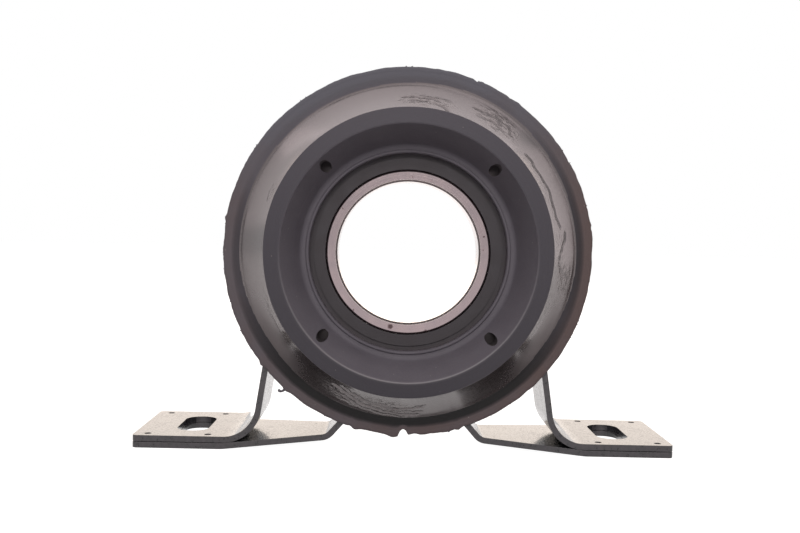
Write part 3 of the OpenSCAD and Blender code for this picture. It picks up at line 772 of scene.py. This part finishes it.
def boss_mesh(boss):
    """The boss with its torn rim and cracked flank, and the points of its rim's edge."""
    outline, top, foot, hollow_centre = boss_shape(boss)
    count = len(outline)
    azimuth = np.repeat((np.arange(boss.turns) * 360 / boss.turns)[:, None], count, 1)
    radius = np.repeat(outline[None, :, 0], boss.turns, 0)
    y = np.repeat(outline[None, :, 1], boss.turns, 0)
    # The point of the section that is furthest out, and of the rim's two edges the front one
    outermost = int(np.argmax(outline[:, 0] - 0.2 * outline[:, 1]))

    # Marks of the surface, at each point
    share = (radius - top[0]) / (foot[0] - top[0])
    on_flank = (share >= 0) & (y < foot[1] - TINY) & (np.arange(count) < outermost)
    skin_end = skin_end_line(azimuth)
    skin = on_flank & (share < skin_end)
    middle_radius = float(top[0] + foot[0]) / 2
    length = FLANK_SLOPE * float(foot[0] - top[0])
    groove, inside = crack_depth(azimuth, share, length, middle_radius)
    rough = scuff_strength(azimuth, share)
    from_ridge = np.hypot(radius - boss.crest_radius, y - BOSS_LOW.y)
    marks = {
        "rim": np.clip((share - skin_end) / (1 - skin_end), 0, 1),
        "bevel": (radius > boss.crest_radius) & (radius < top[0] + 0.2 * MM) & (y < top[1] + 0.2 * MM),
        # Painted highlight on the ridge's lower half
        "ridge": np.exp(-(from_ridge / RIDGE_HIGHLIGHT_WIDTH) ** 2) * np.clip(0.05 - np.sin(np.radians(azimuth)), 0, 1),
        # Painted shade in the fillet, where the flank mirrors the dark straps and the shaded floor
        "painted_shade": (on_flank & ~skin) * flank_shade(azimuth, share),
        "scuff": skin * rough,
        "crack": skin * inside,
        "dull": flank_dullness(azimuth, share, skin_end),
        "around": np.radians(turn_between(azimuth, SEAM_AZIMUTH + 180)) * middle_radius,
        "down": share * length,
    }

    # Relief of the skin, along its normals; it fades out towards the skin's end
    inward = hollow_centre - np.stack([radius, y], -1)
    outward = inward / np.linalg.norm(inward, axis=-1, keepdims=True)
    relief = skin_relief(azimuth, share, rough) - groove
    lift = skin * np.clip((skin_end - share) / 0.1, 0, 1) * relief
    radius = radius + lift * outward[..., 0]
    y = y + lift * outward[..., 1]

    # Torn edge of the rim
    tear_start = foot[0] - TEAR_DEPTH
    reach = np.clip((radius - tear_start) / (BOSS_HIGH.x - tear_start), 0, 1)
    on_rim = y < STRAP_LOW.y + 0.01 * MM
    radius = radius + np.where(on_rim, reach, 0) * rim_edge_line(boss, azimuth)

    turn = np.radians(azimuth)
    points = np.stack([radius * np.cos(turn), y, radius * np.sin(turn)], -1)
    index = np.arange(boss.turns * count).reshape(boss.turns, count)
    following = np.roll(index, -1, 0)
    faces = np.stack([index, np.roll(index, -1, 1), np.roll(following, -1, 1), following], -1).reshape(-1, 4)
    piece = new_piece("boss", points.reshape(-1, 3), faces.tolist())
    for name, values in marks.items():
        layer = piece.data.attributes.new(name, "FLOAT", "POINT")
        layer.data.foreach_set("value", values.ravel().astype(np.float32))
    piece.data.polygons.foreach_set("material_index", skin.ravel().astype(np.int32))
    return piece, points[:, outermost]


def pin_cutters(boss, material):
    """Pins that leave the core pin holes, one on each point of a circle."""
    start = BOSS_LOW.y - boss.bevel_drop
    end = -BEARING_HIGH.y - boss.pin_floor
    pitch = boss.crest_radius - boss.pin_inset
    turns = [math.radians(45 + 360 * i / boss.pin_holes) for i in range(boss.pin_holes)]
    piece = new_piece("pin_cutters", [
        (pitch * math.cos(t), (start + end) / 2, pitch * math.sin(t)) for t in turns])
    tree, sizes = new_tree("core_pins", {"Radius": "NodeSocketFloat", "Length": "NodeSocketFloat"})
    pin = put(tree, "GeometryNodeMeshCylinder", {
        "Vertices": 36, "Radius": sizes["Radius"], "Depth": sizes["Length"]})["Mesh"]
    pins = put(tree, "GeometryNodeInstanceOnPoints", {
        "Points": sizes["Geometry"], "Instance": pin, "Rotation": (math.pi / 2, 0, 0)})[0]
    real = put(tree, "GeometryNodeRealizeInstances", {0: pins})[0]
    finished = put(tree, "GeometryNodeSetMaterial", {0: real, "Material": material})[0]
    put(tree, "NodeGroupOutput", {0: finished})
    grow(piece, tree, {"Radius": boss.pin_hole, "Length": end - start})
    return piece


def flash_nubs(boss, edge_points, material):
    """Crumbs of torn flash on points of the rim's edge."""
    piece = new_piece("rim_flash", edge_points)
    tree, sizes = new_tree("torn_flash", {
        "Share": "NodeSocketFloat", "Smallest": "NodeSocketVector", "Largest": "NodeSocketVector",
        "Seed": "NodeSocketInt"})
    # Random Value keeps one pair of limits for each kind: 0 and 1 are vectors, 6 is a chance, 8 is the seed
    picked = put(
        tree, "FunctionNodeRandomValue", {6: sizes["Share"], 8: sizes["Seed"]}, data_type="BOOLEAN")[3]
    grains = put(
        tree, "FunctionNodeRandomValue", {0: sizes["Smallest"], 1: sizes["Largest"], 8: sizes["Seed"]},
        data_type="FLOAT_VECTOR")[0]
    tumble = put(
        tree, "FunctionNodeRandomValue", {0: (0, 0, 0), 1: (6.28, 6.28, 6.28), 8: sizes["Seed"]},
        data_type="FLOAT_VECTOR")[0]
    points = put(tree, "GeometryNodeMeshToPoints", {0: sizes["Geometry"], 1: picked})[0]
    lump = put(tree, "GeometryNodeMeshIcoSphere", {"Radius": 1.0, "Subdivisions": 2})["Mesh"]
    lumps = put(tree, "GeometryNodeInstanceOnPoints", {
        "Points": points, "Instance": lump, "Rotation": tumble, "Scale": grains})[0]
    real = put(tree, "GeometryNodeRealizeInstances", {0: lumps})[0]
    finished = put(tree, "GeometryNodeSetMaterial", {0: real, "Material": material})[0]
    put(tree, "NodeGroupOutput", {0: finished})
    small = 0.35 * boss.nub
    grow(piece, tree, {
        "Share": NUB_SHARE, "Smallest": (small, small, small),
        "Largest": (boss.nub, 1.6 * boss.nub, boss.nub), "Seed": NUB_SEED})
    return piece


def flash_curl(boss):
    """A curl of torn flash that hangs from the rim at the lower left."""
    turn = math.radians(CURL_AZIMUTH)
    outward = np.array((math.cos(turn), 0, math.sin(turn)))
    aside = np.array((outward[2], 0, -outward[0]))
    depth = np.array((0, 1, 0))
    root = BOSS_HIGH.x * outward + (STRAP_LOW.y - 0.6 * boss.rim_thickness) * depth
    # Millimetres out from the rim and aside, then the strip's half width and half thickness
    path = (
        (-0.7, 0.0, 0.65, 0.6), (0.2, 0.0, 0.6, 0.5), (0.8, 0.05, 0.5, 0.4), (1.25, 0.25, 0.42, 0.36),
        (1.6, 0.6, 0.42, 0.42), (1.7, 1.05, 0.5, 0.5), (1.55, 1.45, 0.3, 0.3),
    )
    sides = 10
    points = []
    for i, (out, across, wide, thick) in enumerate(path):
        before = path[max(i - 1, 0)]
        after = path[min(i + 1, len(path) - 1)]
        ahead = (after[0] - before[0]) * outward + (after[1] - before[1]) * aside
        normal = np.cross(depth, ahead / np.linalg.norm(ahead))
        middle = root + (out * outward + across * aside) * MM
        for k in range(sides):
            t = 2 * math.pi * k / sides
            points.append(middle + (thick * math.cos(t) * normal + wide * math.sin(t) * depth) * MM)
    faces = [tuple(range(sides)), tuple(range(len(points) - sides, len(points)))]
    for i in range(len(path) - 1):
        for k in range(sides):
            a = i * sides + k
            b = i * sides + (k + 1) % sides
            faces.append((a, b, b + sides, a + sides))
    piece = new_piece("rim_curl", points, faces)
    face_outwards(piece)
    return piece


class CENTREBEARING_OT_boss(bpy.types.Operator):
    """Makes the rubber boss with its torn rim, cracked flank and core pin holes"""
    bl_idname = "centre_bearing.boss"
    bl_label = "Rubber boss"

    def execute(self, context):
        boss = context.scene.centre_bearing_boss
        finish = context.scene.centre_bearing_finish
        material = rubber_finish(finish)
        piece, edge_points = boss_mesh(boss)
        piece.data.materials.append(material)
        piece.data.materials.append(skin_finish(finish))
        face_outwards(piece)
        pins = pin_cutters(boss, hole_finish())
        cut = piece.modifiers.new("pin_holes", "BOOLEAN")
        cut.operation = "DIFFERENCE"
        cut.solver = "EXACT"
        cut.material_mode = "TRANSFER"
        cut.object = pins
        settle(piece)
        bpy.data.objects.remove(pins)
        piece.data.set_sharp_from_angle(angle=math.radians(50))
        flash = flash_nubs(boss, edge_points, material)
        curl = flash_curl(boss)
        curl.data.materials.append(material)
        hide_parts("rubber_boss")
        for made in (piece, flash, curl):
            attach(made, "bracket")
        return {"FINISHED"}


class CENTREBEARING_OT_straps(bpy.types.Operator):
    """Rounds the edges of the two straps and paints them"""
    bl_idname = "centre_bearing.straps"
    bl_label = "Straps"

    def execute(self, context):
        finish = context.scene.centre_bearing_finish
        paint = paint_finish(finish)
        worn = worn_finish(finish)
        for node in ("upper_strap", "cradle_strap"):
            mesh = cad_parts[node].data.copy()
            mesh.materials.clear()
            sheet = bmesh.new()
            sheet.from_mesh(mesh)
            bmesh.ops.remove_doubles(sheet, verts=sheet.verts, dist=TINY)
            bmesh.ops.dissolve_limit(
                sheet, angle_limit=math.radians(0.3), verts=sheet.verts, edges=sheet.edges)
            sheet.to_mesh(mesh)
            sheet.free()
            mesh.shade_smooth()
            piece = bpy.data.objects.new(node + "_painted", mesh)
            context.scene.collection.objects.link(piece)
            mesh.materials.append(paint)
            mesh.materials.append(worn)
            soften = piece.modifiers.new("worn_edges", "BEVEL")
            soften.width = STRAP_EDGE
            soften.segments = 3
            soften.limit_method = "ANGLE"
            soften.angle_limit = math.radians(STRAP_EDGE_TURN)
            soften.material = 1
            piece.modifiers.new("flat_faces", "WEIGHTED_NORMAL").weight = 100
            settle(piece)
            # Faces that look along the shaft are the sheet's cut edges, where the paint is thin
            for face in piece.data.polygons:
                if abs(face.normal.y) > 0.9:
                    face.material_index = 1
            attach(piece, "bracket")
            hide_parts(node)
        return {"FINISHED"}


class CENTREBEARING_OT_bearing(bpy.types.Operator):
    """Finishes the rings, seals, balls and cage of the bearing"""
    bl_idname = "centre_bearing.bearing"
    bl_label = "Ball bearing"

    def execute(self, context):
        finish = context.scene.centre_bearing_finish
        steel = steel_finish(finish)
        seal = seal_finish(finish)
        ball = ball_finish(finish)
        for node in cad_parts:
            if node.startswith("ball_") and node != "ball_cage":
                dress(node, ball)
        for node in ("inner_ring", "outer_ring"):
            dress(node, steel)
        for node in ("front_seal", "rear_seal"):
            dress(node, seal)
        dress("ball_cage", cage_finish(finish))
        return {"FINISHED"}


def shown_to_eye(tree):
    """1 for rays from the camera, from glossy surfaces and through glass, and 0 for other light."""
    path = put(tree, "ShaderNodeLightPath")
    seen = put(tree, MATH, {0: path["Is Camera Ray"], 1: path["Is Glossy Ray"]}, operation="MAXIMUM")[0]
    return put(tree, MATH, {0: seen, 1: path["Is Transmission Ray"]}, operation="MAXIMUM")[0]


def new_camera(scene, stage):
    """The camera at the photograph's place."""
    ahead = Vector((
        math.sin(stage.yaw) * math.cos(stage.pitch),
        math.cos(stage.yaw) * math.cos(stage.pitch),
        -math.sin(stage.pitch)))
    level = Vector((math.cos(stage.yaw), -math.sin(stage.yaw), 0))
    above = level.cross(ahead)
    right = level * math.cos(stage.roll) - above * math.sin(stage.roll)
    up = level * math.sin(stage.roll) + above * math.cos(stage.roll)
    data = bpy.data.cameras.new("photo_camera")
    data.sensor_width = 36
    data.lens = stage.lens
    data.clip_start = 0.01
    data.clip_end = 50
    camera = bpy.data.objects.new("photo_camera", data)
    scene.collection.objects.link(camera)
    turn = Matrix((right, up, -ahead)).transposed()
    camera.matrix_world = Matrix.Translation(Vector(stage.place)) @ turn.to_4x4()
    scene.camera = camera


def new_world(scene, stage):
    """A white room: white to the eye and in reflections, softer as light."""
    world = bpy.data.worlds.new("white_room")
    scene.world = world
    world.use_nodes = True
    tree = world.node_tree
    tree.nodes.clear()
    soft = put(tree, "ShaderNodeBackground", {"Color": (1, 1, 1, 1), "Strength": stage.room})[0]
    white = put(tree, "ShaderNodeBackground", {"Color": (1, 1, 1, 1), "Strength": 1.0})[0]
    both = put(tree, "ShaderNodeMixShader", {0: shown_to_eye(tree), 1: soft, 2: white})[0]
    put(tree, "ShaderNodeOutputWorld", {"Surface": both})


def new_floor():
    """A white floor that fades into the room and keeps a faint shadow."""
    half = 3.0
    floor = new_piece("floor", [
        (-half, -half, SOLE_Z), (half, -half, SOLE_Z), (half, half, SOLE_Z), (-half, half, SOLE_Z)],
        [(0, 1, 2, 3)])
    material, tree = new_material("white_floor")
    matt = put(tree, "ShaderNodeBsdfDiffuse", {"Color": linear(FLOOR_MATT)})[0]
    shadow = put(tree, "ShaderNodeBsdfDiffuse", {"Color": linear(FLOOR_SHADOW)})[0]
    glow = put(tree, "ShaderNodeEmission", {"Color": (1, 1, 1, 1), "Strength": FLOOR_GLOW})[0]
    pale = put(tree, "ShaderNodeAddShader", {0: shadow, 1: glow})[0]
    both = put(tree, "ShaderNodeMixShader", {0: shown_to_eye(tree), 1: matt, 2: pale})[0]
    put(tree, "ShaderNodeOutputMaterial", {"Surface": both})
    floor.data.materials.append(material)


def new_softbox(scene, name, place, aim, size, power, colour):
    """A rectangular softbox that faces a point."""
    lamp = bpy.data.lights.new(name, "AREA")
    lamp.shape = "RECTANGLE"
    lamp.size, lamp.size_y = size
    lamp.energy = power
    lamp.color = linear(colour)[:3]
    softbox = bpy.data.objects.new(name, lamp)
    softbox.location = place
    softbox.rotation_euler = (Vector(aim) - Vector(place)).to_track_quat("-Z", "Y").to_euler()
    softbox.visible_camera = False
    scene.collection.objects.link(softbox)


class CENTREBEARING_OT_stage(bpy.types.Operator):
    """Sets up the floor, the room, the softboxes and the camera"""
    bl_idname = "centre_bearing.stage"
    bl_label = "Stage"

    def execute(self, context):
        scene = context.scene
        stage = scene.centre_bearing_stage
        scene.view_settings.view_transform = "Standard"
        new_camera(scene, stage)
        new_world(scene, stage)
        new_floor()
        # Places, aims and sizes in metres
        centre = (0, 0, 0)
        new_softbox(scene, "key_softbox", (0, -0.95, 0.5), centre, (0.8, 0.6), stage.key, "#fffaf5")
        new_softbox(scene, "top_softbox", (-0.05, 0.25, 0.95), centre, (2.0, 1.2), stage.top, "#fff1f1")
        new_softbox(scene, "right_softbox", (1.0, 0.5, 0.3), centre, (0.8, 1.0), stage.right, "#ffeeed")
        new_softbox(scene, "left_softbox", (-0.9, 0.5, 0.5), centre, (0.8, 0.8), stage.left, "#fff0ee")
        new_softbox(scene, "back_softbox", (0, 1.1, 0.45), (0, 0, 0.45), (2.4, 0.9), stage.back, "#ffe8d2")
        return {"FINISHED"}


class CENTREBEARING_PT_panel(bpy.types.Panel):
    """Lists the settings and the steps that dress the bearing"""
    bl_idname = "CENTREBEARING_PT_panel"
    bl_label = "Centre bearing"
    bl_space_type = "VIEW_3D"
    bl_region_type = "UI"
    bl_category = "Centre bearing"

    def draw(self, context):
        for name, group in SETTINGS.items():
            column = self.layout.column()
            for label in group.__annotations__:
                column.prop(getattr(context.scene, name), label)
        for operator in OPERATORS:
            self.layout.operator(operator.bl_idname)


SETTINGS = {
    "centre_bearing_boss": BossSettings,
    "centre_bearing_finish": FinishSettings,
    "centre_bearing_stage": StageSettings,
}
OPERATORS = (CENTREBEARING_OT_boss, CENTREBEARING_OT_straps, CENTREBEARING_OT_bearing, CENTREBEARING_OT_stage)


def register():
    for name, group in SETTINGS.items():
        bpy.utils.register_class(group)
        setattr(bpy.types.Scene, name, bpy.props.PointerProperty(type=group))
    for operator in OPERATORS:
        bpy.utils.register_class(operator)
    bpy.utils.register_class(CENTREBEARING_PT_panel)


def unregister():
    bpy.utils.unregister_class(CENTREBEARING_PT_panel)
    for operator in reversed(OPERATORS):
        bpy.utils.unregister_class(operator)
    for name, group in reversed(SETTINGS.items()):
        delattr(bpy.types.Scene, name)
        bpy.utils.unregister_class(group)


def main():
    register()
    bpy.ops.centre_bearing.boss()
    bpy.ops.centre_bearing.straps()
    bpy.ops.centre_bearing.bearing()
    bpy.ops.centre_bearing.stage()


if __name__ == "__main__":
    main()
